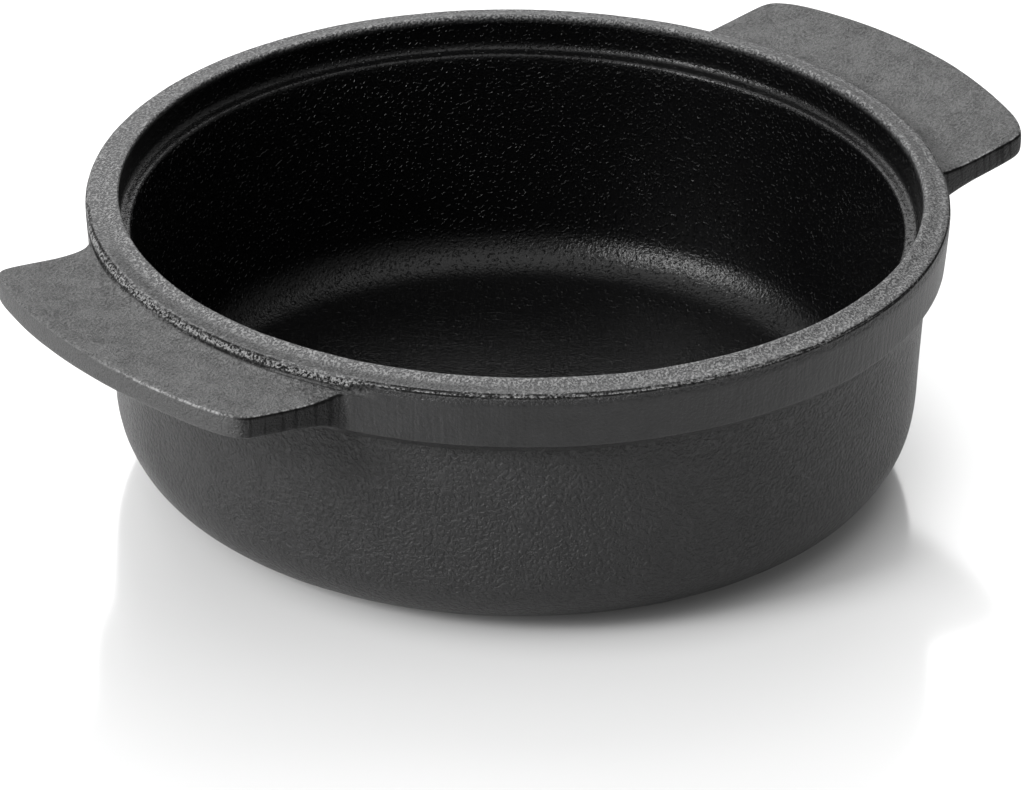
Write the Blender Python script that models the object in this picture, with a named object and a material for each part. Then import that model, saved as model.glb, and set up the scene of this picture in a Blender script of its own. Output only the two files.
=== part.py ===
"""A small round cast iron pan with two flat ears and a ledge for a lid, at its real size.

The pan stands on z = 0 with its axis on z, and its ears lie along x. Sizes are in millimetres and
become metres as each shape is made. The casting is divided where its form changes: floor, heel,
wall, rim band and ears, each a solid of its own with a thin parting gap to the next.
"""

import math

import bmesh
import bpy

MM = 0.001

# Rim, band and lid ledge
RIM_RADIUS = 80.0
PAN_HEIGHT = 54.5
RIM_WIDTH = 5.4
RIM_OUTER_ROUND = 1.4
RIM_INNER_ROUND = 0.9
BAND_HEIGHT = 11.0
BAND_DRAFT = 0.8
BAND_STEP = 3.2
STEP_HEIGHT = 2.6
LEDGE_DEPTH = 6.2
LEDGE_WIDTH = 4.0
LEDGE_ROUND = 0.8

# Wall, heel and floor
WALL_DRAFT_DEGREES = 3.1
HEEL_RADIUS = 15.8
INNER_HEEL_RADIUS = 9.0
HEEL_LAND = 2.0
FLOOR_THICKNESS = 5.0

# Ears
EAR_REACH = 21.0
EAR_WIDTH = 73.5
EAR_ROOT_DROP = 3.2
EAR_RISE_DEGREES = 6.0
EAR_TIP_THICKNESS = 4.2
EAR_TAPER_DEGREES = 1.0
EAR_CORNER_RADIUS = 5.0
EAR_ROOT_FILLET = 2.5
EAR_TOP_FILLET = 1.7
EAR_UNDER_FILLET = 3.5
EAR_EDGE_ROUND = 0.8

# Fits and facets
PARTING_GAP = 0.3
TURN_STEPS = 72
HEEL_STEPS = 10
ROUND_STEPS = 4
EAR_ARC_STEPS = 5
EAR_CROSS_STEPS = 20
SHARP_DEGREES = 32.0

# Finish of the bare, seasoned iron
IRON_COLOUR = (0.035, 0.035, 0.037, 1.0)
IRON_METALLIC = 0.35
OUTSIDE_ROUGHNESS = 0.62
INSIDE_ROUGHNESS = 0.38

# Heights and radii that follow from the sizes
DRAFT = math.tan(math.radians(WALL_DRAFT_DEGREES))
RIM_BORE = RIM_RADIUS - RIM_WIDTH
BAND_FOOT_RADIUS = RIM_RADIUS - BAND_DRAFT
BAND_FOOT_Z = PAN_HEIGHT - BAND_HEIGHT
SHOULDER_Z = BAND_FOOT_Z - STEP_HEIGHT
SHOULDER_RADIUS = BAND_FOOT_RADIUS - BAND_STEP
LEDGE_Z = PAN_HEIGHT - LEDGE_DEPTH
LEDGE_INNER_RADIUS = RIM_BORE - LEDGE_WIDTH
HEEL_TOP_Z = max(HEEL_RADIUS, FLOOR_THICKNESS + INNER_HEEL_RADIUS)
EAR_ROOT_RADIUS = RIM_RADIUS + PARTING_GAP
EAR_LENGTH = EAR_REACH - PARTING_GAP
EAR_TIP_Z = PAN_HEIGHT - EAR_ROOT_DROP + math.tan(math.radians(EAR_RISE_DEGREES)) * EAR_LENGTH


def wall_outside(z):
    """Radius of the wall's outer face at a height."""
    return SHOULDER_RADIUS - DRAFT * (SHOULDER_Z - z)


def wall_inside(z):
    """Radius of the wall's inner face at a height."""
    return LEDGE_INNER_RADIUS - DRAFT * (LEDGE_Z - z)


def band_outside(z):
    """Radius of the band's outer face at a height."""
    share = (z - BAND_FOOT_Z) / (PAN_HEIGHT - RIM_OUTER_ROUND - BAND_FOOT_Z)
    return BAND_FOOT_RADIUS + BAND_DRAFT * share


def arc(centre, radius, start, end, steps):
    """Points on an arc, in degrees, both ends included."""
    points = []
    for i in range(steps + 1):
        angle = math.radians(start + (end - start) * i / steps)
        points.append((centre[0] + radius * math.cos(angle), centre[1] + radius * math.sin(angle)))
    return points


def heel_centre(face, radius, bottom_z):
    """Centre of the arc that runs from a flat at bottom_z into the leaning face of the wall."""
    z = bottom_z + radius
    return face(z) - radius / math.cos(math.radians(WALL_DRAFT_DEGREES)), z


OUTER_HEEL_CENTRE = heel_centre(wall_outside, HEEL_RADIUS, 0.0)
INNER_HEEL_CENTRE = heel_centre(wall_inside, INNER_HEEL_RADIUS, FLOOR_THICKNESS)
FLOOR_JOINT_RADIUS = min(OUTER_HEEL_CENTRE[0], INNER_HEEL_CENTRE[0]) - HEEL_LAND


def iron(name, roughness):
    """Dark seasoned cast iron."""
    material = bpy.data.materials.new(name)
    material.use_nodes = True
    shader = material.node_tree.nodes["Principled BSDF"]
    shader.inputs["Base Color"].default_value = IRON_COLOUR
    shader.inputs["Metallic"].default_value = IRON_METALLIC
    shader.inputs["Roughness"].default_value = roughness
    material.diffuse_color = IRON_COLOUR
    return material


def finish_mesh(name, shape):
    """Turns a bmesh in millimetres into a smooth-shaded mesh in metres."""
    bmesh.ops.scale(shape, vec=(MM, MM, MM), verts=shape.verts)
    bmesh.ops.recalc_face_normals(shape, faces=shape.faces)
    mesh = bpy.data.meshes.new(name)
    shape.to_mesh(mesh)
    shape.free()
    mesh.shade_smooth()
    mesh.set_sharp_from_angle(angle=math.radians(SHARP_DEGREES))
    return mesh


def place(name, mesh, roughness, turn=0.0):
    """Puts a mesh into the scene as a named sub-part with a material of its own."""
    part = bpy.data.objects.new(name, mesh)
    part.rotation_euler.z = turn
    bpy.context.scene.collection.objects.link(part)
    if not mesh.materials:
        mesh.materials.append(iron(name + "_iron", roughness))
    return part


def turned_ring(name, profile):
    """Spins a closed profile of radius and height points round the pan's axis."""
    shape = bmesh.new()
    corners = [shape.verts.new((radius, 0.0, z)) for radius, z in profile]
    edges = [shape.edges.new((a, b)) for a, b in zip(corners, corners[1:] + corners[:1])]
    bmesh.ops.spin(
        shape,
        geom=corners + edges,
        cent=(0.0, 0.0, 0.0),
        axis=(0.0, 0.0, 1.0),
        angle=math.tau,
        steps=TURN_STEPS,
        use_merge=True,
    )
    return finish_mesh(name, shape)


def make_floor():
    """The flat disc that stands on the table."""
    name = "pan_floor"
    shape = bmesh.new()
    radius = FLOOR_JOINT_RADIUS - PARTING_GAP
    bmesh.ops.create_circle(shape, cap_ends=True, segments=TURN_STEPS, radius=radius)
    raised = bmesh.ops.extrude_face_region(shape, geom=list(shape.faces))
    top = [item for item in raised["geom"] if isinstance(item, bmesh.types.BMVert)]
    bmesh.ops.translate(shape, verts=top, vec=(0.0, 0.0, FLOOR_THICKNESS))
    return place(name, finish_mesh(name, shape), INSIDE_ROUGHNESS)


def make_heel():
    """The curved corner between floor and wall, with its own radius inside and outside."""
    name = "heel_ring"
    lean = -WALL_DRAFT_DEGREES
    profile = [(FLOOR_JOINT_RADIUS, 0.0)]
    profile += arc(OUTER_HEEL_CENTRE, HEEL_RADIUS, -90.0, lean, HEEL_STEPS)
    profile.append((wall_outside(HEEL_TOP_Z), HEEL_TOP_Z))
    profile.append((wall_inside(HEEL_TOP_Z), HEEL_TOP_Z))
    profile += arc(INNER_HEEL_CENTRE, INNER_HEEL_RADIUS, lean, -90.0, HEEL_STEPS)
    profile.append((FLOOR_JOINT_RADIUS, FLOOR_THICKNESS))
    return place(name, turned_ring(name, profile), INSIDE_ROUGHNESS)


def make_wall():
    """The leaning wall. Its top is the lid ledge, and its shoulder carries the band."""
    name = "side_wall"
    foot_z = HEEL_TOP_Z + PARTING_GAP
    neck = RIM_BORE - PARTING_GAP
    ledge_corner = (LEDGE_INNER_RADIUS + LEDGE_ROUND, LEDGE_Z - LEDGE_ROUND)
    profile = [
        (wall_inside(foot_z), foot_z),
        (wall_outside(foot_z), foot_z),
        (SHOULDER_RADIUS, SHOULDER_Z),
        (neck, SHOULDER_Z),
        (neck, LEDGE_Z),
    ]
    profile += arc(ledge_corner, LEDGE_ROUND, 90.0, 180.0, ROUND_STEPS)
    return place(name, turned_ring(name, profile), OUTSIDE_ROUGHNESS)


def make_band():
    """The thick band that ends in the rim. Its bore is the lid recess."""
    name = "rim_band"
    seat_z = SHOULDER_Z + PARTING_GAP
    outer_corner = (RIM_RADIUS - RIM_OUTER_ROUND, PAN_HEIGHT - RIM_OUTER_ROUND)
    inner_corner = (RIM_BORE + RIM_INNER_ROUND, PAN_HEIGHT - RIM_INNER_ROUND)
    profile = [
        (RIM_BORE, seat_z),
        (SHOULDER_RADIUS, seat_z),
        (BAND_FOOT_RADIUS, BAND_FOOT_Z),
    ]
    profile += arc(outer_corner, RIM_OUTER_ROUND, 0.0, 90.0, ROUND_STEPS)
    profile += arc(inner_corner, RIM_INNER_ROUND, 90.0, 180.0, ROUND_STEPS)
    return place(name, turned_ring(name, profile), OUTSIDE_ROUGHNESS)


def ear_stations(inset):
    """Distances from the root to the tip of an ear whose outline is drawn in by inset."""
    tangent = EAR_LENGTH - EAR_CORNER_RADIUS
    quarter = [math.radians(90.0 * i / EAR_ARC_STEPS) for i in range(EAR_ARC_STEPS + 1)]
    fillet = [EAR_ROOT_FILLET * (1.0 - math.cos(angle)) for angle in quarter]
    corner = [tangent + (EAR_CORNER_RADIUS - inset) * math.sin(angle) for angle in quarter]
    return fillet + [(EAR_ROOT_FILLET + tangent) / 2.0] + corner


def ear_half_width(distance, inset):
    """Half the ear's width at a distance from the root: root fillet, straight side, round corner."""
    half = EAR_WIDTH / 2.0
    tangent = EAR_LENGTH - EAR_CORNER_RADIUS
    if distance < EAR_ROOT_FILLET:
        radius = EAR_ROOT_FILLET + inset
        back = EAR_ROOT_FILLET - distance
        return half + EAR_ROOT_FILLET - math.sqrt(radius**2 - back**2)
    if distance > tangent:
        radius = EAR_CORNER_RADIUS - inset
        past = distance - tangent
        return half - EAR_CORNER_RADIUS + math.sqrt(max(radius**2 - past**2, 0.0))
    return half - inset


def ear_fillet(radius, distance):
    """How far a fillet at the root leaves the face that it runs into."""
    back = max(radius - distance, 0.0)
    return radius - math.sqrt(radius**2 - back**2)


def ear_plane_z(x, rise_degrees, tip_z):
    """Height of a flat face that rises along x and reaches tip_z at the ear's tip."""
    return tip_z - math.tan(math.radians(rise_degrees)) * (EAR_ROOT_RADIUS + EAR_LENGTH - x)


def ear_top_z(distance, x):
    """Height of the ear's upper face, which curves up to the rim at the root."""
    face_z = ear_plane_z(x, EAR_RISE_DEGREES, EAR_TIP_Z)
    fillet = max(0.0, min(EAR_TOP_FILLET, EAR_ROOT_DROP - RIM_OUTER_ROUND))
    return face_z + ear_fillet(fillet, distance)


def ear_under_z(distance, x):
    """Height of the ear's tapered underside, which curves down into the band at the root."""
    face_z = ear_plane_z(x, EAR_RISE_DEGREES + EAR_TAPER_DEGREES, EAR_TIP_Z - EAR_TIP_THICKNESS)
    fillet = max(0.0, min(EAR_UNDER_FILLET, face_z - BAND_FOOT_Z))
    return face_z - ear_fillet(fillet, distance)


def ear_point(distance, across, inset, height):
    """A point of the ear, with across running from -1 to 1 between its two sides."""
    radius = EAR_ROOT_RADIUS + distance
    angle = across * math.asin(ear_half_width(distance, inset) / radius)
    z = height(distance, radius * math.cos(angle))
    if distance == 0.0:
        radius = band_outside(z) + PARTING_GAP
    return radius * math.cos(angle), radius * math.sin(angle), z


def ear_edge(rows):
    """The open edge of a grid of rows: up one side, along the tip and down the other side."""
    return [row[0] for row in rows] + rows[-1][1:] + [row[-1] for row in reversed(rows[:-1])]


def ear_grid(shape, inset, height):
    """Rows of points from root to tip, at the height that a function of distance and x gives."""
    shares = [2.0 * j / EAR_CROSS_STEPS - 1.0 for j in range(EAR_CROSS_STEPS + 1)]
    rows = []
    for distance in ear_stations(inset):
        rows.append([shape.verts.new(ear_point(distance, share, inset, height)) for share in shares])
    return rows


def ear_loop(shape, inset, height):
    """Only the open edge of such a grid."""
    stations = ear_stations(inset)
    shares = [2.0 * j / EAR_CROSS_STEPS - 1.0 for j in range(EAR_CROSS_STEPS + 1)]
    path = [(distance, -1.0) for distance in stations]
    path += [(stations[-1], share) for share in shares[1:]]
    path += [(distance, 1.0) for distance in reversed(stations[:-1])]
    return [shape.verts.new(ear_point(d, share, inset, height)) for d, share in path]


def fill_between(shape, first, second):
    """A strip of faces between two rows of points of the same length."""
    for i in range(len(first) - 1):
        shape.faces.new((first[i], first[i + 1], second[i + 1], second[i]))


def ear_mesh(name):
    """A flat ear with rounded corners and edges, whose root follows the band."""
    shape = bmesh.new()
    half_turn = math.radians(45.0)
    part_inset = EAR_EDGE_ROUND * (1.0 - math.sin(half_turn))
    top = ear_grid(shape, EAR_EDGE_ROUND, ear_top_z)
    loops = [
        ear_edge(top),
        ear_loop(shape, part_inset, lambda d, x: ear_top_z(d, x) - part_inset),
        ear_loop(shape, 0.0, lambda d, x: ear_top_z(d, x) - EAR_EDGE_ROUND),
        ear_loop(shape, 0.0, lambda d, x: ear_under_z(d, x) + EAR_EDGE_ROUND),
    ]
    under = ear_grid(shape, EAR_EDGE_ROUND, ear_under_z)
    loops.append(ear_edge(under))
    for rows in (top, under):
        for near, far in zip(rows, rows[1:]):
            fill_between(shape, near, far)
    for upper, lower in zip(loops, loops[1:]):
        fill_between(shape, upper, lower)
    fill_between(shape, top[0], under[0])
    shape.faces.new([loop[0] for loop in loops])
    shape.faces.new([loop[-1] for loop in loops])
    return finish_mesh(name, shape)


def make_ears():
    """Two equal ears on opposite sides of the band."""
    mesh = ear_mesh("ear_handle")
    right = place("ear_handle_right", mesh, OUTSIDE_ROUGHNESS)
    left = place("ear_handle_left", mesh, OUTSIDE_ROUGHNESS, turn=math.pi)
    return right, left


def main():
    for item in list(bpy.data.objects):
        bpy.data.objects.remove(item)
    make_floor()
    make_heel()
    make_wall()
    make_band()
    make_ears()


main()
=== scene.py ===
# %% [markdown]
# A small two-eared cast iron pan, dressed for its portrait.
# The frame below is the measured model of the pan: floor, heel, wall, rim band and two ears. On the
# real pan these are one casting, so this lesson grows a single skin over all of them, gives it the
# look of sand-cast iron outside and a smooth black coat inside, and sets it on a white studio table.

# %% Load the measured frame
import math

import bmesh
import bpy
from mathutils import Matrix, Vector


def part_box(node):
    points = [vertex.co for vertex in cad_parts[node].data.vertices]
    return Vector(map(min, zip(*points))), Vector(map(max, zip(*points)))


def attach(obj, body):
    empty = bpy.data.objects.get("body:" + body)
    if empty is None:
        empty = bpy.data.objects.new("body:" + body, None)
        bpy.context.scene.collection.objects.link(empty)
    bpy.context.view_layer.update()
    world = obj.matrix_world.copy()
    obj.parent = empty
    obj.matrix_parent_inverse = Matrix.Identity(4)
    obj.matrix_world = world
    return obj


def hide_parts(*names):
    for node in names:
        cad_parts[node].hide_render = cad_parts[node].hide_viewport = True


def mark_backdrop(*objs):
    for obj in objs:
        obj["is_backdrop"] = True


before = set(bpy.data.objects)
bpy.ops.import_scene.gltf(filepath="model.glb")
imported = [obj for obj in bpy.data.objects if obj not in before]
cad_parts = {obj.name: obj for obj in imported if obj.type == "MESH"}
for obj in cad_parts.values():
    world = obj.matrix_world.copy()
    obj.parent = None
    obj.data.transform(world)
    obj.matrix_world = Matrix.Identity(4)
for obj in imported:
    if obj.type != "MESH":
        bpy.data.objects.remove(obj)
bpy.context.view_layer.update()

MM = 0.001
print("frame nodes:", ", ".join(sorted(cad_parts)))

# %% [markdown]
# The sizes that matter come from the frame's own boxes, so the skin always fits the measured pan.
# Only what a box can't tell, such as a fillet's radius, is written here, in millimetres. Working in
# millimetres keeps the numbers readable, and one factor turns them into Blender's metres at the end.

# %% Sizes of the casting
# the photographed ears end a little short of the frame's
EAR_TIP_TRIM = 0.3
rim_low, rim_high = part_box("rim_band")
wall_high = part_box("side_wall")[1]
ear_low, ear_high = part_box("ear_handle_right")
floor_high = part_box("pan_floor")[1]

RIM_RADIUS = rim_high.x / MM
PAN_HEIGHT = rim_high.z / MM
LEDGE_Z = wall_high.z / MM
FLOOR_Z = floor_high.z / MM
SHOULDER_RADIUS = wall_high.x / MM
SHOULDER_Z = rim_low.z / MM
EAR_TIP_RADIUS = ear_high.x / MM - EAR_TIP_TRIM
EAR_FOOT_Z = ear_low.z / MM

RIM_WIDTH = 5.4
RIM_OUTER_ROUND = 1.2
RIM_LIP = 0.75
RECESS_INSET = 0.3
BAND_HEIGHT = 11.0
BAND_DRAFT = 0.8
STEP_BEAD = 0.35
LEDGE_WIDTH = 3.3
WALL_DRAFT = math.tan(math.radians(3.1))
HEEL_RADIUS = 15.8
INNER_HEEL_RADIUS = 9.0
EAR_HALF_WIDTH = 37.0
EAR_CORNER_RADIUS = 6.0
EAR_ROOT_FILLET = 3.0
EAR_TOP_FILLET = 3.4
EAR_ROOT_DROP = 3.2
EAR_RISE = math.tan(math.radians(8.0))
EAR_UNDER_RISE = math.tan(math.radians(8.5))
EAR_TIP_THICKNESS = 4.8

RIM_BORE = RIM_RADIUS - RIM_WIDTH
RECESS_RADIUS = RIM_BORE - RECESS_INSET
LEDGE_RADIUS = RIM_BORE - LEDGE_WIDTH
BAND_FOOT_Z = PAN_HEIGHT - BAND_HEIGHT
EAR_CREASE_Z = PAN_HEIGHT - EAR_ROOT_DROP
print(f"rim {2 * RIM_RADIUS:.1f} mm across, {PAN_HEIGHT:.1f} mm high, ears reach {EAR_TIP_RADIUS:.1f} mm")

# %% [markdown]
# A turned form is drawn as half a section, here as a list of rings from the middle of the base, up the
# outside, over the rim and down the inside to the middle of the floor. A Screw modifier could turn it,
# but the ears have to grow out of some of its faces, so the rings are kept as rows of points. Two rings
# close together hold an edge crisp when the Subdivision Surface modifier rounds everything later.

# %% Section of the pan
def wall_outside(z):
    return SHOULDER_RADIUS - WALL_DRAFT * (SHOULDER_Z - z)


def wall_inside(z):
    return LEDGE_RADIUS - WALL_DRAFT * (LEDGE_Z - z)


def band_outside(z):
    share = (z - BAND_FOOT_Z) / (PAN_HEIGHT - RIM_OUTER_ROUND - BAND_FOOT_Z)
    return RIM_RADIUS - BAND_DRAFT * (1 - min(share, 1))


def arc(centre, radius, start, end, steps):
    """Points along an arc between two angles in degrees, with both ends."""
    angles = [math.radians(start + (end - start) * i / steps) for i in range(steps + 1)]
    return [(centre[0] + radius * math.cos(a), centre[1] + radius * math.sin(a)) for a in angles]


def heel_arc(face, radius, flat_z, start, end, steps):
    """The arc from a flat into the leaning wall."""
    z = flat_z + radius
    return arc((face(z) - radius, z), radius, start, end, steps)


# how far loops lie below an ear's top: three that round its edge, and one halfway down
LOOP_DROPS = (0.0, 0.25, 1.0)
MIDDLE_DROP = 4.0
FOOT_LOOP = 0.9
# the heights at which rings cross the ears' roots, from the underside to the top
EAR_LEVELS = [EAR_FOOT_Z, EAR_FOOT_Z + FOOT_LOOP]
EAR_LEVELS += [EAR_CREASE_Z - below for below in (MIDDLE_DROP, *reversed(LOOP_DROPS))]
# where rings cross the plain stretches
BASE_RADII = (14, 30, 44, 53)
WALL_HEIGHTS = (20, 26, 32, SHOULDER_Z - 3.4)
INNER_WALL_HEIGHTS = (LEDGE_Z - 2.6, 38, 31, 24, 18)
FLOOR_RADII = (55, 45, 32, 16)

base = [(r, 0.0) for r in BASE_RADII]
heel = heel_arc(wall_outside, HEEL_RADIUS, 0.0, -90, -3, 7)
wall = [(wall_outside(z), z) for z in WALL_HEIGHTS]
# a faint bead runs round under the band
wall += [(wall_outside(SHOULDER_Z) + STEP_BEAD, SHOULDER_Z - 1.1)]
# from here on, each point is a named edge of the section and the small offsets that round it
step = [
    (SHOULDER_RADIUS + 0.1, SHOULDER_Z + 0.1),
    (band_outside(BAND_FOOT_Z) - 1.1, BAND_FOOT_Z - 0.95),
    (band_outside(BAND_FOOT_Z) - 0.25, BAND_FOOT_Z - 0.2),
]
band = [(band_outside(z), z) for z in EAR_LEVELS]
rim_outer = (RIM_RADIUS - RIM_OUTER_ROUND, PAN_HEIGHT - RIM_OUTER_ROUND - 0.15)
rim = arc(rim_outer, RIM_OUTER_ROUND, 10, 90, 3)
# the rim's top climbs inwards to a low lip
rim += [
    (RIM_BORE + 2.9, PAN_HEIGHT - 0.05),
    (RIM_BORE + 1.7, PAN_HEIGHT + 0.3),
    (RIM_BORE + 0.7, PAN_HEIGHT + RIM_LIP),
    (RIM_BORE, PAN_HEIGHT + RIM_LIP),
    (RECESS_RADIUS, PAN_HEIGHT + 0.4),
    (RECESS_RADIUS, PAN_HEIGHT - 0.8),
]
recess = [
    (RECESS_RADIUS, PAN_HEIGHT - 2.6),
    (RECESS_RADIUS, LEDGE_Z + 1.9),
    (RIM_BORE - 0.4, LEDGE_Z + 0.8),
    (RIM_BORE - 0.9, LEDGE_Z + 0.1),
    (RIM_BORE - 1.9, LEDGE_Z),
    (LEDGE_RADIUS + 0.9, LEDGE_Z),
    (LEDGE_RADIUS + 0.25, LEDGE_Z - 0.15),
    (LEDGE_RADIUS + 0.05, LEDGE_Z - 0.8),
]
inner_wall = [(wall_inside(z), z) for z in INNER_WALL_HEIGHTS]
inner_heel = heel_arc(wall_inside, INNER_HEEL_RADIUS, FLOOR_Z, -3, -90, 6)
floor = [(r, FLOOR_Z) for r in FLOOR_RADII]

section = base + heel + wall + step + band + rim + recess + inner_wall + inner_heel + floor
EAR_FOOT_RING = len(base + heel + wall + step)
EAR_TOP_RING = EAR_FOOT_RING + len(band) - 1
INSIDE_RING = EAR_TOP_RING + len(rim)
print(len(section), "rings in the section")

# %% [markdown]
# The rings are cut into faces by spokes. An ear's root spans an even number of spokes, and its outline
# meets the band along a fillet, so the spokes are closer or wider set to land exactly on the two ends
# of that fillet. Everything else is spread evenly between the two ears.

# %% Spokes around the pan
EAR_SPOKES = 16
SIDE_SPOKES = 28
FILLET_CENTRE_RADIUS = RIM_RADIUS + EAR_ROOT_FILLET
ROOT_ANGLE = math.asin((EAR_HALF_WIDTH + EAR_ROOT_FILLET) / FILLET_CENTRE_RADIUS)


def spoke_angles():
    """Angles of all spokes, starting at the first end of the right ear's root."""
    ear = [-ROOT_ANGLE + 2 * ROOT_ANGLE * i / EAR_SPOKES for i in range(EAR_SPOKES)]
    gap = math.pi - 2 * ROOT_ANGLE
    side = [ROOT_ANGLE + gap * i / SIDE_SPOKES for i in range(SIDE_SPOKES)]
    half = ear + side
    return half + [angle + math.pi for angle in half]


ANGLES = spoke_angles()
EAR_STARTS = (0, EAR_SPOKES + SIDE_SPOKES)
print(len(ANGLES), "spokes, an ear root spans", round(math.degrees(2 * ROOT_ANGLE)), "degrees")

# %% [markdown]
# An ear is a flat tab: a fillet from the band, a straight side, a round corner and a tip that follows
# the rim's own curve. One function walks that outline from the band to the middle of a corner, and can
# draw it in by a little, which gives the loops that round the ear's edges.

# %% Outline of an ear
STRAIGHT_SHARES = (0.3, 0.65)


def ear_side(inset):
    """Points from the band to the middle of the corner, on the +y side, as (x, y)."""
    half = EAR_HALF_WIDTH - inset
    fillet_y = EAR_HALF_WIDTH + EAR_ROOT_FILLET
    fillet_x = math.sqrt(FILLET_CENTRE_RADIUS**2 - fillet_y**2)
    tip = EAR_TIP_RADIUS - EAR_CORNER_RADIUS
    corner_y = EAR_HALF_WIDTH - EAR_CORNER_RADIUS
    corner_x = math.sqrt(tip**2 - corner_y**2)
    turn = math.degrees(math.atan2(corner_y, corner_x))
    start = 180 + math.degrees(ROOT_ANGLE)
    fillet = arc((fillet_x, fillet_y), EAR_ROOT_FILLET + inset, start, 270, 3)
    straight = [(fillet_x + (corner_x - fillet_x) * share, half) for share in STRAIGHT_SHARES]
    corner = arc((corner_x, corner_y), EAR_CORNER_RADIUS - inset, 90, (90 + turn) / 2, 2)
    return fillet + straight + corner


def ear_tip(inset):
    """Points along the tip between the middles of both corners, from -y to +y."""
    end = Vector(ear_side(inset)[-1])
    reach = EAR_TIP_RADIUS - inset
    swing = math.atan2(end.y, end.x)
    corner_y = EAR_HALF_WIDTH - EAR_CORNER_RADIUS
    corner_swing = math.asin(corner_y / (EAR_TIP_RADIUS - EAR_CORNER_RADIUS))
    points = []
    for j in range(EAR_SPOKES + 1):
        angle = -swing + 2 * swing * j / EAR_SPOKES
        past = max(0.0, abs(angle) - corner_swing) / (swing - corner_swing)
        radius = reach + (end.length - reach) * past**2
        points.append((radius * math.cos(angle), radius * math.sin(angle)))
    return points


SIDE_STATIONS = len(ear_side(0.0))
print("ear outline:", SIDE_STATIONS, "points a side")

# %% [markdown]
# Top and underside of an ear are filled with a Coons patch: four border curves, and inside them the sum
# of the two ways of sliding between opposite borders, less the corners counted twice. It keeps the faces
# evenly shaped, which matters because long thin faces pinch when they are subdivided.

# %% Fill an ear's plan
def ear_plan(inset, root_radius):
    """Rows of plan points from root to tip. Row 0 lies on the band, between the ends of the root."""
    side = [Vector(p) for p in ear_side(inset)]
    root_end = Vector((math.cos(ROOT_ANGLE), math.sin(ROOT_ANGLE)))
    side[0] = root_end * root_radius(1.0)
    mirror = [Vector((p.x, -p.y)) for p in side]
    tip = [Vector(p) for p in ear_tip(inset)]
    root = []
    for j in range(EAR_SPOKES + 1):
        share = 2 * j / EAR_SPOKES - 1
        angle = ROOT_ANGLE * share
        root.append(Vector((math.cos(angle), math.sin(angle))) * root_radius(abs(share)))
    lengths = [0.0]
    for a, b in zip(side, side[1:]):
        lengths.append(lengths[-1] + (b - a).length)
    rows = []
    for i, length in enumerate(lengths):
        t = length / lengths[-1]
        row = []
        for j in range(EAR_SPOKES + 1):
            s = j / EAR_SPOKES
            sliding = root[j] * (1 - t) + tip[j] * t + mirror[i] * (1 - s) + side[i] * s
            corners = (mirror[0] * (1 - s) + side[0] * s) * (1 - t)
            corners += (mirror[-1] * (1 - s) + side[-1] * s) * t
            row.append(sliding - corners)
        rows.append(row)
    return rows


def outline_of(rows):
    """The open border of a plan: out along one side, across the tip, back along the other."""
    return [row[0] for row in rows] + rows[-1][1:] + [row[-1] for row in reversed(rows[:-1])]


plan = ear_plan(0.0, lambda share: RIM_RADIUS)
print("ear plan:", len(plan), "rows of", len(plan[0]))

# %% [markdown]
# The skin itself is built as a bmesh. Besides its place, each point remembers which finish it wears, in
# named attributes: the black coat inside, the rubbed rim and its rough outer edge, which also carries a
# line of painted shade, the band, and the ears with their worn lip, which also carries a painted
# highlight and painted shade. A shader fades from one to the next later.

# %% Build the skin
FINISHES = ("coat", "rim", "edge", "band", "ear", "lip")
# the edge value on the rim's outer round, where it paints a thin dark line of shade
EDGE_SHADE_LINE = 0.6
# the rim's inner lip is cast a little off centre: how far, and how much of it each ring takes
LIP_SHIFT = Vector((0.5, -0.4, 0.0))
LIP_SHARES = {5: 0.5, 6: 1.0, 7: 1.0, 8: 1.0, 9: 1.0, 10: 0.6}
# beside the left ear and in front of it the rim is rubbed less, over this many spokes
LESS_RUBBED = 28
RUB_LOSS = 0.7
RUB_FADE_IN = 4
RUB_FADE_OUT = 8
# its rough edge runs on from there along the front
ROUGH_EDGE = 40
ROUGH_FADE_OUT = 14

skin = bmesh.new()
layers = {name: skin.verts.layers.float.new(name) for name in FINISHES}


def point(x, y, z, **finish):
    vert = skin.verts.new((x * MM, y * MM, z * MM))
    for name, amount in finish.items():
        vert[layers[name]] = amount
    return vert


def ring_finish(index):
    """Which finish a ring of the section wears."""
    return {
        "coat": float(index >= INSIDE_RING),
        "rim": float(EAR_TOP_RING + 1 < index < INSIDE_RING),
        "edge": EDGE_SHADE_LINE * (index == EAR_TOP_RING + 2),
        "band": float(EAR_FOOT_RING <= index <= EAR_TOP_RING),
    }


ring_rows = []
for index, (radius, z) in enumerate(section):
    finish = ring_finish(index)
    ring_rows.append([point(radius * math.cos(a), radius * math.sin(a), z, **finish) for a in ANGLES])
for ring, share in LIP_SHARES.items():
    for vert in ring_rows[EAR_TOP_RING + ring]:
        vert.co += LIP_SHIFT * (share * MM)
for i in range(LESS_RUBBED):
    spoke = (EAR_STARTS[1] - 1 + i) % len(ANGLES)
    loss = RUB_LOSS * min(1, i / RUB_FADE_IN, (LESS_RUBBED - i) / RUB_FADE_OUT)
    for ring in range(EAR_TOP_RING + 4, EAR_TOP_RING + 6):
        ring_rows[ring][spoke][layers["rim"]] = 1 - loss
for i in range(ROUGH_EDGE):
    spoke = (EAR_STARTS[1] - 1 + i) % len(ANGLES)
    rougher = min(1, (ROUGH_EDGE - i) / ROUGH_FADE_OUT)
    ring_rows[EAR_TOP_RING + 2][spoke][layers["edge"]] = EDGE_SHADE_LINE + (1 - EDGE_SHADE_LINE) * rougher
    ring_rows[EAR_TOP_RING + 3][spoke][layers["edge"]] = EDGE_SHADE_LINE * rougher
base_middle = point(0, 0, 0)
floor_middle = point(0, 0, FLOOR_Z, coat=1.0)


def in_ear_root(ring, spoke):
    """Faces of the band that an ear covers."""
    if not EAR_FOOT_RING <= ring < EAR_TOP_RING:
        return False
    return any(start <= spoke < start + EAR_SPOKES for start in EAR_STARTS)


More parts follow.
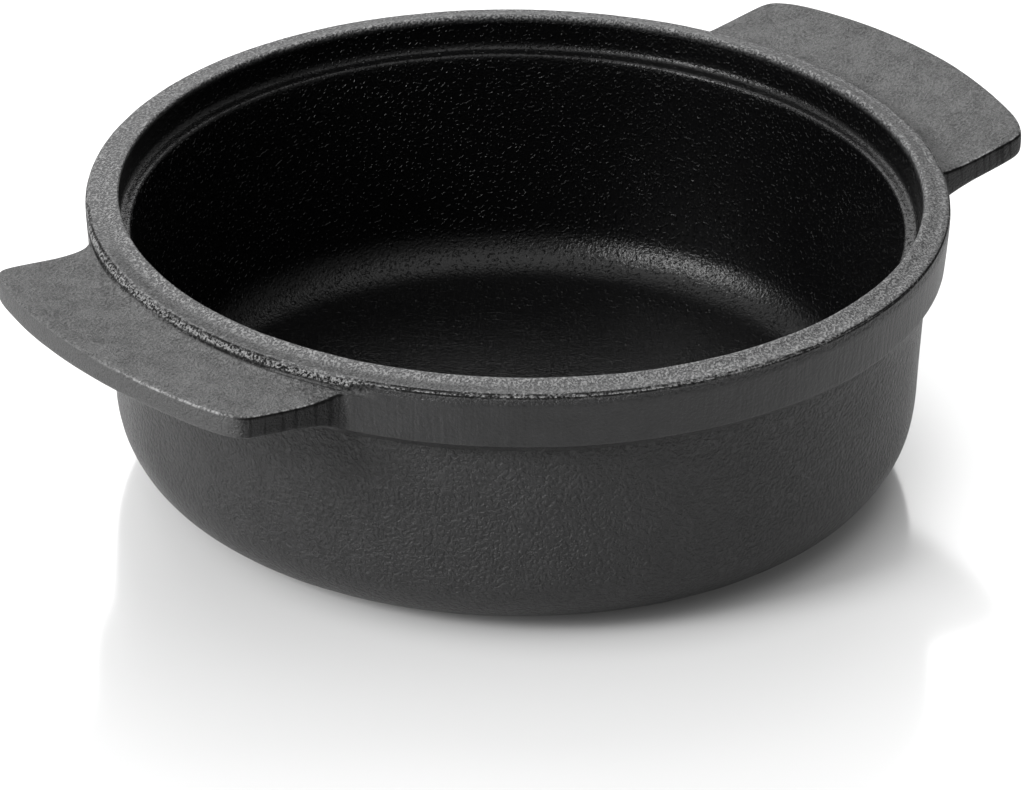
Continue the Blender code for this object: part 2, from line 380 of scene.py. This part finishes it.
count = len(ANGLES)
for ring in range(len(section) - 1):
    low, high = ring_rows[ring], ring_rows[ring + 1]
    for spoke in range(count):
        if not in_ear_root(ring, spoke):
            after = (spoke + 1) % count
            skin.faces.new((low[spoke], low[after], high[after], high[spoke]))
for spoke in range(count):
    after = (spoke + 1) % count
    skin.faces.new((base_middle, ring_rows[0][after], ring_rows[0][spoke]))
    skin.faces.new((floor_middle, ring_rows[-1][spoke], ring_rows[-1][after]))
print(len(skin.faces), "faces before the ears")

# %% [markdown]
# Each ear grows out of the gap left in the band. Its top starts at the upper ring, its underside at the
# lower ring, and its edge is a stack of outline loops between them, so every face stays a quad and the
# ear, its fillets and the band become one skin. The ear rises a little towards its tip, and its
# underside falls away to the root, as a casting's does, because iron has to flow into the ear there.

# %% Grow the ears
UNDER_FILLET = 3.5
UNDER_LOOP = 0.8
ROOT_REACH = 0.9
# the fillet on top stops this far below the rim
FILLET_STOP = 1.7
# how far each loop of an ear's edge is drawn in, from its top to its underside
EDGE_INSETS = (0.95, 0.22, 0.0, 0.0, 0.0, 0.7)
# beside an ear the rim's rough edge is wider: how rough each ring is, from the ear's top inwards; values
# under 0.62 give the thin line of painted shade instead of roughness
EDGE_AT_EAR = (0.4, 1.0, 0.95, 0.45)
# the ear's first row takes a faint share of that painted shade line
EDGE_ON_EAR = 0.33


def ear_upper(spot):
    """Height of the ear's top, which rises along x and curves up to the rim at the root."""
    back = max(EAR_TOP_FILLET - max(spot.length - RIM_RADIUS, 0.0), 0.0)
    curve = EAR_TOP_FILLET - math.sqrt(EAR_TOP_FILLET**2 - back**2)
    return EAR_CREASE_Z + EAR_RISE * (spot.x - RIM_RADIUS) + min(curve, EAR_ROOT_DROP - FILLET_STOP)


def ear_under(spot):
    """Height of the underside, which curves down to the band's foot at the root."""
    tip = EAR_CREASE_Z + EAR_RISE * (EAR_TIP_RADIUS - RIM_RADIUS) - EAR_TIP_THICKNESS
    flat = tip - EAR_UNDER_RISE * (EAR_TIP_RADIUS - spot.x)
    blend = min(max(spot.length - RIM_RADIUS, 0.0) / UNDER_FILLET, 1.0)
    return EAR_FOOT_Z + (flat - EAR_FOOT_Z) * math.sin(blend * math.pi / 2)


def root_radius(share):
    """The top starts on the fillet, a little outside the rim, but not at the two ends of the root."""
    return RIM_RADIUS + ROOT_REACH * (1 - share**4)


def foot_radius(share):
    """The underside starts at the band's foot all along the root."""
    return band_outside(EAR_FOOT_Z)


def grow_ear(start):
    turn = Matrix.Rotation(ANGLES[start] - ANGLES[0], 2)
    spokes = [(start + j) % count for j in range(EAR_SPOKES + 1)]
    levels = [ring_rows[ring] for ring in range(EAR_TOP_RING, EAR_FOOT_RING - 1, -1)]
    plans = [ear_plan(inset, root_radius) for inset in EDGE_INSETS[:-1]]
    plans.append(ear_plan(EDGE_INSETS[-1], foot_radius))

    def height(level, spot):
        upper, under = ear_upper(spot), ear_under(spot)
        if level < len(LOOP_DROPS):
            return upper - LOOP_DROPS[level]
        if level == len(LOOP_DROPS):
            return (upper + under) / 2
        return under + (UNDER_LOOP if level == len(LOOP_DROPS) + 1 else 0.0)

    def place(level, spot, **finish):
        x, y = turn @ spot
        return point(x, y, height(level, spot), **finish)

    top = [[levels[0][spoke] for spoke in spokes]]
    for j, vert in enumerate(top[0]):
        spot = plans[0][0][j]
        x, y = turn @ spot
        vert.co = (x * MM, y * MM, ear_upper(spot) * MM)
        vert[layers["ear"]] = 1.0
        for ring, amount in enumerate(EDGE_AT_EAR):
            ring_rows[EAR_TOP_RING + ring][spokes[j]][layers["edge"]] = amount
    for level, row in enumerate(levels[1:-1], 1):
        for spoke in (spokes[0], spokes[-1]):
            row[spoke].co.z = height(level, plans[level][0][0]) * MM
    for i, row in enumerate(plans[0][1:]):
        edge = EDGE_ON_EAR if i == 0 else 0.0
        top.append([place(0, spot, ear=1.0, edge=edge) for spot in row])
    under = [[levels[-1][spoke] for spoke in spokes]]
    under += [[place(len(levels) - 1, spot, ear=1.0) for spot in row] for row in plans[-1][1:]]
    loops = [outline_of(top)]
    for level in range(1, len(levels) - 1):
        border = outline_of(plans[level])
        loop = [levels[level][spokes[0]]]
        loop += [place(level, spot, ear=1.0, lip=float(level == 1)) for spot in border[1:-1]]
        loop.append(levels[level][spokes[-1]])
        loops.append(loop)
    loops.append(outline_of(under))
    for rows in (top, [row[::-1] for row in under]):
        for near, far in zip(rows, rows[1:]):
            for a, b, c, d in zip(near, far, far[1:], near[1:]):
                skin.faces.new((a, b, c, d))
    for upper, lower in zip(loops, loops[1:]):
        for a, b, c, d in zip(upper, lower, lower[1:], upper[1:]):
            skin.faces.new((a, b, c, d))
    unused = [vert for row in levels[1:-1] for vert in (row[s] for s in spokes[1:-1])]
    bmesh.ops.delete(skin, geom=unused, context="VERTS")


for start in EAR_STARTS:
    grow_ear(start)
bmesh.ops.recalc_face_normals(skin, faces=skin.faces)
open_edges = [edge for edge in skin.edges if not edge.is_manifold]
print(len(skin.faces), "faces with the ears,", len(open_edges), "open edges")

# %% [markdown]
# The Subdivision Surface modifier turns the cage into a smooth casting. A sand mould is never perfectly
# true, so a Displace modifier with a soft procedural cloud pushes the surface in and out by a few
# hundredths of a millimetre over a centimetre or so, just enough to make the reflections wander.

# %% Make the casting
SMOOTHING = 2
SWELL_SIZE = 0.011
SWELL_HEIGHT = 0.00016

mesh = bpy.data.meshes.new("pan_casting")
skin.to_mesh(mesh)
skin.free()
mesh.shade_smooth()
casting = bpy.data.objects.new("pan_casting", mesh)
bpy.context.scene.collection.objects.link(casting)

smooth = casting.modifiers.new("smooth casting", "SUBSURF")
smooth.levels = SMOOTHING
smooth.render_levels = SMOOTHING
swell = bpy.data.textures.new("mould swell", "CLOUDS")
swell.noise_scale = SWELL_SIZE
swell.noise_depth = 1
wander = casting.modifiers.new("mould swell", "DISPLACE")
wander.texture = swell
wander.texture_coords = "LOCAL"
wander.strength = SWELL_HEIGHT
wander.mid_level = 0.5

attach(casting, "root")
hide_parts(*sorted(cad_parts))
print("casting:", len(mesh.polygons), "cage faces")

# %% [markdown]
# Materials are written as sums. One small class wraps a socket of a node tree, so that adding two of
# them with Python's own + puts an Add node between them. Every other node comes from one method, which
# takes the node's type, its settings, and what its sockets are fed.

# %% Sockets that can be added
class Wire:
    """An output socket with Python's operators, each of which adds a Math node."""

    def __init__(self, tree, socket=None):
        self.tree = tree
        self.socket = socket

    def add(self, kind, settings=None, inputs=None, out=0):
        """Adds any node: its type, its settings, then values or wires for its sockets."""
        node = self.tree.nodes.new(kind)
        for name, value in (settings or {}).items():
            setattr(node, name, value)
        for key, value in (inputs or {}).items():
            if isinstance(value, Wire):
                self.tree.links.new(value.socket, node.inputs[key])
            else:
                node.inputs[key].default_value = value
        return Wire(self.tree, node.outputs[out])

    def math(self, operation, *others):
        values = dict(enumerate((self, *others)))
        return self.add("ShaderNodeMath", {"operation": operation}, values)

    def __add__(self, other):
        return self.math("ADD", other)

    def __sub__(self, other):
        return self.math("SUBTRACT", other)

    def __rsub__(self, other):
        return self.math("MULTIPLY", -1.0).math("ADD", other)

    def __mul__(self, other):
        return self.math("MULTIPLY", other)

    __radd__ = __add__
    __rmul__ = __mul__

    def ramp(self, low, high):
        """A soft step from 0 at low to 1 at high."""
        settings = {"interpolation_type": "SMOOTHSTEP"}
        return self.add("ShaderNodeMapRange", settings, {"Value": self, "From Min": low, "From Max": high})

    def blend(self, first, second):
        """A colour that goes from first to second with this wire."""
        settings = {"data_type": "RGBA"}
        return self.add("ShaderNodeMix", settings, {0: self, 6: first, 7: second}, out=2)


def noise(start, place, grains_per_mm, detail=2.0, roughness=0.5):
    """Soft random grain of a given fineness, from 0 to 1."""
    inputs = {"Vector": place, "Scale": grains_per_mm / MM, "Detail": detail, "Roughness": roughness}
    return start.add("ShaderNodeTexNoise", None, inputs)


print("shader tools ready")

# %% [markdown]
# Bare iron from a sand mould is a dark grey with fine grain, and pits where single grains of sand stood.
# The rim is rubbed paler, its outer edge keeps a rough broken line, and an ear's lip is worn in places.
# Painted glints light the crumbs of that rough edge and the front side of the ears' lips, and painted
# shade darkens the edge's low spots. On the band the grain is drawn out into faint upright streaks. A
# matt black mix lays a thin line of painted shade along the rim's outer edge and along the top edge of
# the ears' ends, and soot drips down those ends. All of this could be several materials side by side,
# but on a casting one finish fades into the next, so it is one mixture of attributes.
# Inside, a thin black coat lies over the sand grain like paint on plaster. It is glossier and darker
# than the iron, so it gets a shader of its own, and the skin's coat attribute mixes the two.

# %% Cast iron finish
IRON = (0.005, 0.005, 0.0052, 1.0)
IRON_PALE = (0.017, 0.017, 0.0175, 1.0)
RIM_DARK = (0.022, 0.022, 0.023, 1.0)
RIM_PALE = (0.155, 0.155, 0.155, 1.0)
LIP_PALE = (0.10, 0.10, 0.10, 1.0)
# a painted glint colour, for the crumbs of the rough edge and the ears' lips
PAINTED_GLINT = (0.26, 0.26, 0.26, 1.0)
# matt black, for soot drips and for painted shade
SOOT_AND_SHADE = (0.004, 0.004, 0.004, 1.0)
COAT_BLACK = (0.0008, 0.0008, 0.0009, 1.0)
IRON_ROUGHNESS = 0.30
IRON_SPECULAR = 0.4
COAT_ROUGHNESS = 0.26
COAT_SPECULAR = 0.28
SOOT_AND_SHADE_ROUGHNESS = 0.9
SOOT_AND_SHADE_SPECULAR = 0.1
RELIEF = 0.36 * MM
COAT_RELIEF = 0.22 * MM
STREAK_STRETCH = (1.0, 1.0, 0.07)


def facing(start, axis):
    """1 on faces that look along an axis: Y for the two ends of an ear, X for its tip, Z for its top."""
    normal = start.add("ShaderNodeTexCoord", out="Normal")
    along = start.add("ShaderNodeSeparateXYZ", None, {0: normal}, out=axis).math("ABSOLUTE")
    return along.ramp(0.5, 0.85)


def bare_iron(start, place, finish):
    """The iron outside: a shader fed by the finishes painted on the skin."""
    drawn = start.add("ShaderNodeMapping", None, {"Vector": place, "Scale": STREAK_STRETCH})
    grain = noise(start, place, 1.6, 3.0, 0.65)
    pits = noise(start, place, 1.3, 3.0, 0.6).ramp(0.38, 0.72)
    drift = noise(start, place, 0.035, 2.0)
    mottle = noise(start, place, 0.22, 3.0, 0.6)
    speckle = noise(start, place, 2.2, 2.0, 0.6).ramp(0.40, 0.62)
    streaks = noise(start, drawn, 0.9, 2.0, 0.6)
    crumbs = noise(start, place, 1.9, 2.0, 0.7)
    rough = finish["edge"].ramp(0.62, 0.98)
    ear_end = facing(start, "Y") * finish["ear"].ramp(0.5, 1.0)
    ear_tip = facing(start, "X") * finish["ear"]
    ear_top = facing(start, "Z") * finish["ear"]

    iron = (grain * 0.5 + mottle * 0.4 + drift * 0.3 - 0.1).ramp(0.25, 0.8).blend(IRON, IRON_PALE)
    rubbed = finish["rim"].blend(iron, speckle.blend(RIM_DARK, RIM_PALE))
    towards_front = start.add("ShaderNodeSeparateXYZ", None, {0: place}, out="Y").ramp(0.0, -0.02)
    # the lip is partly worn and partly lit with a painted highlight, on its side towards the front only
    lip_wear_and_glint = finish["lip"].ramp(0.4, 0.9) * (grain + mottle).ramp(0.9, 1.15) * towards_front
    handled = ear_top * (mottle.ramp(0.3, 0.7) * 0.35 + grain.ramp(0.35, 0.6) * 0.5 + speckle * 0.4)
    worn_and_glinting = lip_wear_and_glint.blend((ear_tip * 0.5 + handled).blend(rubbed, LIP_PALE), PAINTED_GLINT)
    # the crumbs of the rough edge are lit with painted glints
    colour = rough.blend(worn_and_glinting, crumbs.ramp(0.45, 0.58).blend(IRON, PAINTED_GLINT))

    pitted = pits * (1.0 - (finish["ear"] + finish["band"] + finish["rim"]).ramp(0.0, 0.8))
    relief = grain * 0.6 - pitted * 0.85
    relief = relief + streaks * 0.5 * finish["band"] + speckle * 0.35 * finish["rim"]
    relief = relief + (grain + speckle * 0.5) * 0.9 * finish["ear"]
    relief = relief + (crumbs + grain * 0.5) * 3.0 * rough
    bump = start.add("ShaderNodeBump", None, {"Strength": 1.0, "Distance": RELIEF, "Height": relief})
    roughness = IRON_ROUGHNESS + grain * 0.12 + finish["ear"] * 0.1
    inputs = {"Base Color": colour, "Roughness": roughness, "Normal": bump}
    inputs["Specular IOR Level"] = IRON_SPECULAR
    iron_shader = start.add("ShaderNodeBsdfPrincipled", None, inputs)

    # a thin dark line along the rim's outer edge and beside the ears' roots: painted shade
    painted_edge_shade = finish["edge"].ramp(0.2, 0.55) * (1.0 - rough) * (drift + grain).ramp(0.8, 1.05)
    # soot drips down the ends of the ears, and painted shade along the top edge of those ends
    drips_and_edge_shade = ear_end * (streaks.ramp(0.5, 0.64) * 0.5 + finish["lip"].ramp(0.2, 0.7))
    # painted shade in the low spots of the rough edge, where its bump dips
    pit_shade = rough * (1.0 - crumbs.ramp(0.36, 0.48))
    # one matt black shader for the soot drips and for the painted shade
    inputs = {"Base Color": SOOT_AND_SHADE, "Roughness": SOOT_AND_SHADE_ROUGHNESS, "Specular IOR Level": SOOT_AND_SHADE_SPECULAR}
    soot_and_shade_shader = start.add("ShaderNodeBsdfPrincipled", None, inputs)
    mixture = {0: (painted_edge_shade + drips_and_edge_shade + pit_shade).math("MINIMUM", 1.0), 1: iron_shader, 2: soot_and_shade_shader}
    return start.add("ShaderNodeMixShader", None, mixture)


def black_coat(start, place):
    """The coat inside: nearly black, with a gloss that the sand grain under it breaks up."""
    grain = noise(start, place, 2.0, 2.0, 0.6)
    specks = noise(start, place, 1.5, 0.0).ramp(0.62, 0.73)
    relief = grain * 0.65 + specks * 0.9
    bump = start.add("ShaderNodeBump", None, {"Strength": 1.0, "Distance": COAT_RELIEF, "Height": relief})
    inputs = {"Base Color": COAT_BLACK, "Roughness": COAT_ROUGHNESS, "Normal": bump}
    inputs["Specular IOR Level"] = COAT_SPECULAR
    return start.add("ShaderNodeBsdfPrincipled", None, inputs)


def cast_iron():
    material = bpy.data.materials.new("cast_iron_with_black_coat")
    material.use_nodes = True
    tree = material.node_tree
    tree.nodes.remove(tree.nodes["Principled BSDF"])
    start = Wire(tree)
    place = start.add("ShaderNodeTexCoord", out="Object")
    finish = {}
    for name in FINISHES:
        finish[name] = start.add("ShaderNodeAttribute", {"attribute_name": name}, out="Fac")
    inputs = {0: finish["coat"], 1: bare_iron(start, place, finish), 2: black_coat(start, place)}
    mixed = start.add("ShaderNodeMixShader", None, inputs)
    tree.links.new(mixed.socket, tree.nodes["Material Output"].inputs["Surface"])
    return material


casting.data.materials.append(cast_iron())
print("casting wears", casting.data.materials[0].name)

# %% [markdown]
# The pan stands on a white glossy table that glows evenly by itself, except close around the pan's
# foot, where the glow is painted dark as the pan's shadow. The table is only a stage: a big plane whose
# shallow mirror shows the pan upside down.

# %% White table
TABLE_SIZE = 6.0
TABLE_WHITE = (0.58, 0.58, 0.58, 1.0)
TABLE_ROUGHNESS = 0.12
TABLE_IOR = 1.8
TABLE_DROP = 0.0002
TABLE_GLOW = 0.27
# the glow is painted dark close around the foot as the pan's shadow, and is full away from it
PAINTED_SHADOW_AT_FOOT = (0.08, 0.08, 0.08, 1.0)
GLOW_AWAY = (1.0, 1.0, 1.0, 1.0)
FOOT_SHADE = (0.057, 0.079)
FOOT_CENTRE = (0.0065, -0.0079, 0.0)


def white_table():
    surface = bmesh.new()
    bmesh.ops.create_grid(surface, x_segments=1, y_segments=1, size=TABLE_SIZE / 2)
    table_mesh = bpy.data.meshes.new("table")
    surface.to_mesh(table_mesh)
    surface.free()
    table = bpy.data.objects.new("table", table_mesh)
    table.location.z = -TABLE_DROP
    bpy.context.scene.collection.objects.link(table)
    material = bpy.data.materials.new("white_table")
    material.use_nodes = True
    shader = material.node_tree.nodes["Principled BSDF"]
    shader.inputs["Base Color"].default_value = TABLE_WHITE
    shader.inputs["Roughness"].default_value = TABLE_ROUGHNESS
    shader.inputs["IOR"].default_value = TABLE_IOR
    shader.inputs["Emission Strength"].default_value = TABLE_GLOW
    start = Wire(material.node_tree)
    spread = {0: start.add("ShaderNodeTexCoord", out="Object"), 1: FOOT_CENTRE}
    away_from_foot = start.add("ShaderNodeVectorMath", {"operation": "DISTANCE"}, spread, out="Value")
    # the painted shadow round the pan's foot
    glow_with_painted_shadow = away_from_foot.ramp(*FOOT_SHADE).blend(PAINTED_SHADOW_AT_FOOT, GLOW_AWAY)
    material.node_tree.links.new(glow_with_painted_shadow.socket, shader.inputs["Emission Color"])
    table_mesh.materials.append(material)
    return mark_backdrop(table)


white_table()
print("table set")

# %% [markdown]
# The camera stands where the photograph was taken from: in front and to the left of the ear axis, a
# little under thirty degrees above the table, far away with a long lens, so parallel edges stay nearly
# parallel. It is turned by its own axes, which makes the slight roll of the picture easy to add.

# %% Camera
IMAGE_WIDTH = 1024
FOCAL_PIXELS = 9074
CAMERA_DISTANCE = 1.7
EAR_TURN = math.radians(39.45)
ELEVATION = math.radians(27.9)
ROLL = math.radians(0.65)
BASE_RIGHT_PIXELS = 3.1
BASE_DOWN_PIXELS = 57.6
SENSOR_MM = 36.0

away = Vector((math.sin(EAR_TURN), math.cos(EAR_TURN), 0))
level_right = Vector((math.cos(EAR_TURN), -math.sin(EAR_TURN), 0))
back = -away * math.cos(ELEVATION) + Vector((0, 0, math.sin(ELEVATION)))
level_up = back.cross(level_right)
right = level_right * math.cos(ROLL) + level_up * math.sin(ROLL)
up = level_up * math.cos(ROLL) - level_right * math.sin(ROLL)
metres_per_pixel = CAMERA_DISTANCE / FOCAL_PIXELS
target = up * (BASE_DOWN_PIXELS * metres_per_pixel) - right * (BASE_RIGHT_PIXELS * metres_per_pixel)

lens = bpy.data.cameras.new("camera")
lens.sensor_width = SENSOR_MM
lens.sensor_fit = "HORIZONTAL"
lens.lens = FOCAL_PIXELS * SENSOR_MM / IMAGE_WIDTH
lens.clip_end = 20
camera = bpy.data.objects.new("camera", lens)
bpy.context.scene.collection.objects.link(camera)
turn = Matrix((right, up, back)).transposed().to_4x4()
camera.matrix_world = Matrix.Translation(target + back * CAMERA_DISTANCE) @ turn
bpy.context.scene.camera = camera
print(f"camera with a {lens.lens:.0f} mm lens")

# %% [markdown]
# Soft boxes light the pan as in a small product studio: a big one overhead, which whitens the table and
# leaves only a short shadow, one behind, which the rim and the ears mirror, and two small ones in one
# place on the left, which reach into the pan and make its grain sparkle. A pale world fills the rest.

# %% Lights
AIM = Vector((0, 0, 0.03))
WORLD_STRENGTH = 0.36
# bearing and height in degrees, distance and size in metres, power in watts
TOP = (180, 80, 1.2, 2.0, 16)
BEHIND = (95, 42, 2.0, 1.6, 22)
LEFT = (212, 31, 1.6, 0.5, 18)


def softbox(name, side, height_degrees, distance, size, power):
    """A square area light, placed by its bearing from the camera's right and its height."""
    bearing = math.radians(side)
    rise = math.radians(height_degrees)
    flat = level_right * math.cos(bearing) + away * math.sin(bearing)
    direction = flat * math.cos(rise) + Vector((0, 0, math.sin(rise)))
    light = bpy.data.lights.new(name, "AREA")
    light.size = size
    light.energy = power
    lamp = bpy.data.objects.new(name, light)
    lamp.location = AIM + direction * distance
    lamp.rotation_euler = direction.to_track_quat("Z", "Y").to_euler()
    bpy.context.scene.collection.objects.link(lamp)
    return lamp


softbox("top softbox", *TOP)
softbox("back softbox", *BEHIND)
softbox("left softbox", *LEFT)
flagged = softbox("flagged left softbox", *LEFT)
# flags keep this one off the table, so that the pan throws only a faint shadow to the right
lit_pan = bpy.data.collections.new("pan lit from the left")
lit_pan.objects.link(casting)
flagged.light_linking.receiver_collection = lit_pan

world = bpy.data.worlds.new("studio")
bpy.context.scene.world = world
world.use_nodes = True
background = world.node_tree.nodes["Background"]
background.inputs["Color"].default_value = (1, 1, 1, 1)
background.inputs["Strength"].default_value = WORLD_STRENGTH
bpy.context.scene.view_settings.view_transform = "Standard"
print("lights on")
